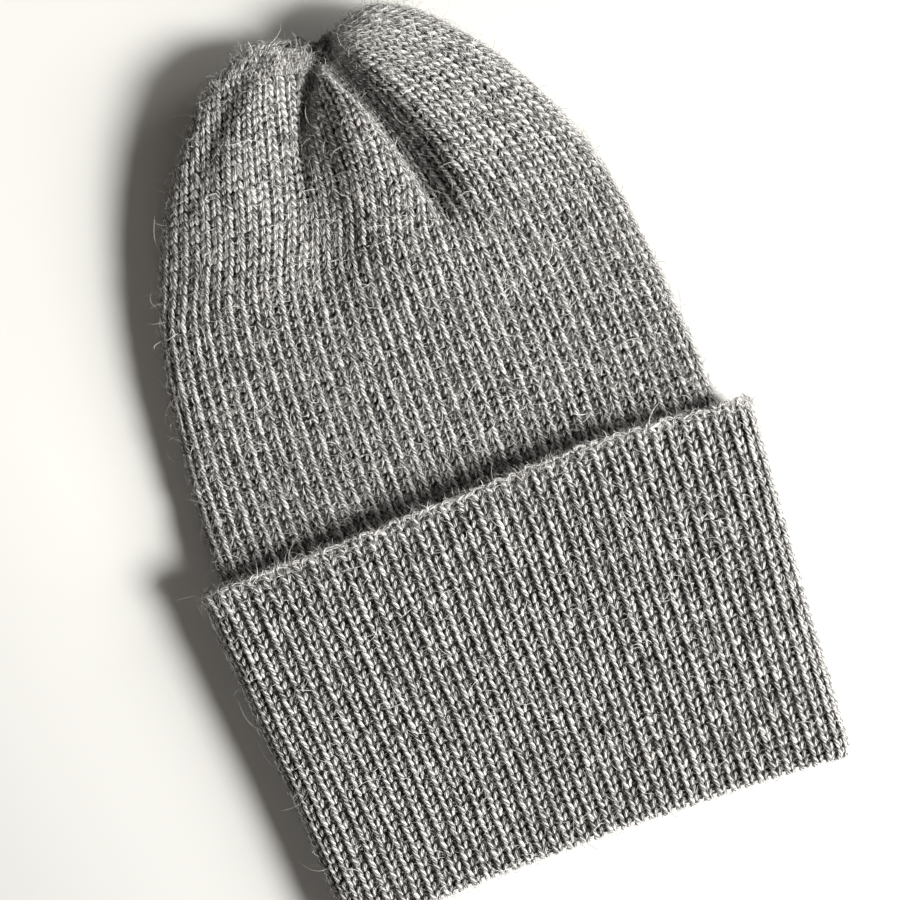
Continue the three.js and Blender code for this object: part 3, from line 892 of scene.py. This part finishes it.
def build_hat():
    # the cloth under the stitches carries painted shade
    knit, cloth, fibre = yarn_material(), painted_shade_cloth_material(), hair_material()
    cuff, crown = cuff_cloth(), crown_cloth()
    cuff_last = int(cuff.rows[-1 - SPARE_RINGS])
    crown_last = int(crown.rows[-1])
    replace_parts(piece(cuff_base(), cloth, "cuff_knit"), "cuff")
    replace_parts(piece(crown_base(), cloth, "crown_knit"), "crown")
    rope, dash = (lambda _: CUFF_ROPE), (lambda _: CUFF_DASH)
    for me in stitches(cuff, rope, dash, 0, cuff_last, CUFF_SEED, "cuff_stitches"):
        piece(me, knit, "cuff_knit")
    loops = edge_loops(cuff, np.random.default_rng(LOOP_SEED), *LOOP_DETAIL)
    piece(mesh_of("cuff_loops", [loops]), knit, "cuff_knit")
    rope, dash = opening(CROWN_ROPE, OPEN_ROPE), opening(CROWN_DASH, OPEN_DASH)
    for me in stitches(crown, rope, dash, 0, crown_last, CROWN_SEED, "crown_stitches"):
        piece(me, knit, "crown_knit")
    cuff_fuzz = [
        hairs(cuff, CUFF_HAIR_ROWS, **CUFF_MAT),
        hairs(cuff, CUFF_HAIR_ROWS, **CUFF_LOOSE),
        hairs(cuff, EDGE_HAIR_ROWS, **CUFF_EDGE),
        hairs(cuff, CUFF_HAIR_ROWS, **CUFF_STRAYS),
    ]
    crown_fuzz = [hairs(crown, (0, crown_last), **kind) for kind in (CROWN_MAT, CROWN_LOOSE)]
    crown_strays = [
        hairs(crown, (0, crown_last), **CROWN_STRAYS),
        hairs(crown, (crown_last - TUFT_ROWS, crown_last), **CROWN_TUFT),
    ]
    piece(mesh_of("cuff_fuzz", cuff_fuzz), fibre, "cuff_knit")
    piece(mesh_of("crown_fuzz", crown_fuzz), fibre, "crown_knit")
    piece(mesh_of("crown_strays", crown_strays), fibre, "crown_knit")


# Camera, light and table

PIXEL = 0.33  # millimetres of the hat to a pixel of the 900 x 900 picture
PICTURE = 900
TURN = math.radians(20)  # of the picture against the hat
TILT = math.radians(87)  # of the view against the table
DISTANCE = 900  # millimetres from the camera to the point at which it aims
SENSOR = 36  # width of the camera's sensor in millimetres
NEAREST = 0.01  # metres from the camera from which things are seen
FOLD_PIXEL = (590, 830)  # the middle of the fold line in the picture
AIM_HEIGHT = 18  # height of that point over the table


def camera_axes():
    """The picture's directions to the right and up, along the table."""
    across = Vector((math.cos(TURN), -math.sin(TURN), 0))
    ahead = Vector((math.sin(TURN), math.cos(TURN), 0))
    return across, ahead


def aim_point():
    """The place over the table at the picture's middle."""
    dx = (PICTURE / 2 - FOLD_PIXEL[0]) * PIXEL
    dy = (PICTURE / 2 - FOLD_PIXEL[1]) * PIXEL
    x = dx * math.cos(TURN) - dy * math.sin(TURN)
    y = -dx * math.sin(TURN) - dy * math.cos(TURN)
    return Vector(placed([x, y, AIM_HEIGHT]).tolist())


def add_camera():
    across, ahead = camera_axes()
    view = ahead * math.cos(TILT) + Vector((0, 0, -math.sin(TILT)))
    back = -view
    camera = bpy.data.cameras.new("camera")
    obj = bpy.data.objects.new("camera", camera)
    bpy.context.scene.collection.objects.link(obj)
    rotation = Matrix((across, back.cross(across), back)).transposed().to_4x4()
    obj.matrix_world = Matrix.Translation(aim_point() - view * DISTANCE * MM) @ rotation
    camera.sensor_width = SENSOR
    camera.lens = camera.sensor_width * DISTANCE / (PICTURE * PIXEL)
    camera.clip_start = NEAREST
    bpy.context.scene.camera = obj


# Light from a broad window on the right: azimuth from the picture's right and height, in degrees, size and
# distance in metres, and how strongly each part lights the hat, in watts a square metre
WINDOW = [
    dict(name="window_high", azimuth=-14, height=43, size=1, distance=3, strength=5.2),
    dict(name="window_middle", azimuth=0, height=30, size=1.2, distance=3, strength=1.1),
    dict(name="window_near", azimuth=-30, height=30, size=1.2, distance=3, strength=0.8),
    dict(name="window_far", azimuth=30, height=30, size=1.2, distance=3, strength=0.6),
    dict(name="window_below", azimuth=-90, height=15, size=1.2, distance=3, strength=0.5),
]
WINDOW_COLOUR = (1, 0.985, 0.96)
# The table's colour holds painted shade: greyer towards the picture's lower left, fading out over
# PAINTED_SHADE_REACH
TABLE_PAINTED_SHADE = (0.56, 0.56, 0.545)
TABLE_PALE = (0.67, 0.672, 0.65)
PAINTED_SHADE_REACH = 0.11  # metres from the picture's lower left corner over which the table turns pale
TABLE_SURFACE = {"Roughness": 0.7}
TABLE_HALF = 3  # metres from the table's middle to its sides
ROOM_COLOUR = (1, 0.9, 0.83, 1)  # of the light from all round
ROOM_LIGHT = 0.118  # its strength


def add_light(name, azimuth, height, size, distance, strength):
    across, ahead = camera_axes()
    turn, rise = math.radians(azimuth), math.radians(height)
    level = across * math.cos(turn) + ahead * math.sin(turn)
    towards = level * math.cos(rise) + Vector((0, 0, math.sin(rise)))
    light = bpy.data.lights.new(name, "AREA")
    light.shape = "DISK"
    light.size = size
    light.energy = strength * math.pi * distance**2
    light.color = WINDOW_COLOUR
    obj = bpy.data.objects.new(name, light)
    bpy.context.scene.collection.objects.link(obj)
    obj.location = aim_point() + towards * distance
    obj.rotation_euler = towards.to_track_quat("Z", "Y").to_euler()


def table_material():
    """Pale paper, with painted shade that makes it a little greyer towards the picture's lower left."""
    material, tree, shader, node, _ = nodes_of("table_top", TABLE_SURFACE)
    across, ahead = camera_axes()
    diagonal = (across + ahead).normalized()
    corner = (aim_point() - (across + ahead) * (PICTURE / 2 * PIXEL * MM)).dot(diagonal)
    place = node("ShaderNodeTexCoord", {}).outputs["Object"]
    far = node("ShaderNodeVectorMath", {0: place, 1: diagonal}, operation="DOT_PRODUCT").outputs["Value"]
    reach = node("ShaderNodeMapRange", {"Value": far, "From Min": corner, "From Max": corner + PAINTED_SHADE_REACH})
    ramp = node("ShaderNodeValToRGB", {0: reach.outputs["Result"]})
    ramp_of(ramp, [(0, TABLE_PAINTED_SHADE), (1, TABLE_PALE)])
    tree.links.new(ramp.outputs[0], shader.inputs["Base Color"])
    return material


def add_stage():
    for row in WINDOW:
        add_light(**row)
    world = bpy.data.worlds.new("room")
    world.use_nodes = True
    background = world.node_tree.nodes["Background"]
    background.inputs["Color"].default_value = ROOM_COLOUR
    background.inputs["Strength"].default_value = ROOM_LIGHT
    bpy.context.scene.world = world
    me = bpy.data.meshes.new("table")
    h = TABLE_HALF
    me.from_pydata([(-h, -h, 0), (h, -h, 0), (h, h, 0), (-h, h, 0)], [], [(0, 1, 2, 3)])
    table_top = bpy.data.objects.new("table", me)
    bpy.context.scene.collection.objects.link(table_top)
    me.materials.append(table_material())
    bpy.context.scene.view_settings.view_transform = "Standard"


add_camera()
add_stage()
build_hat()
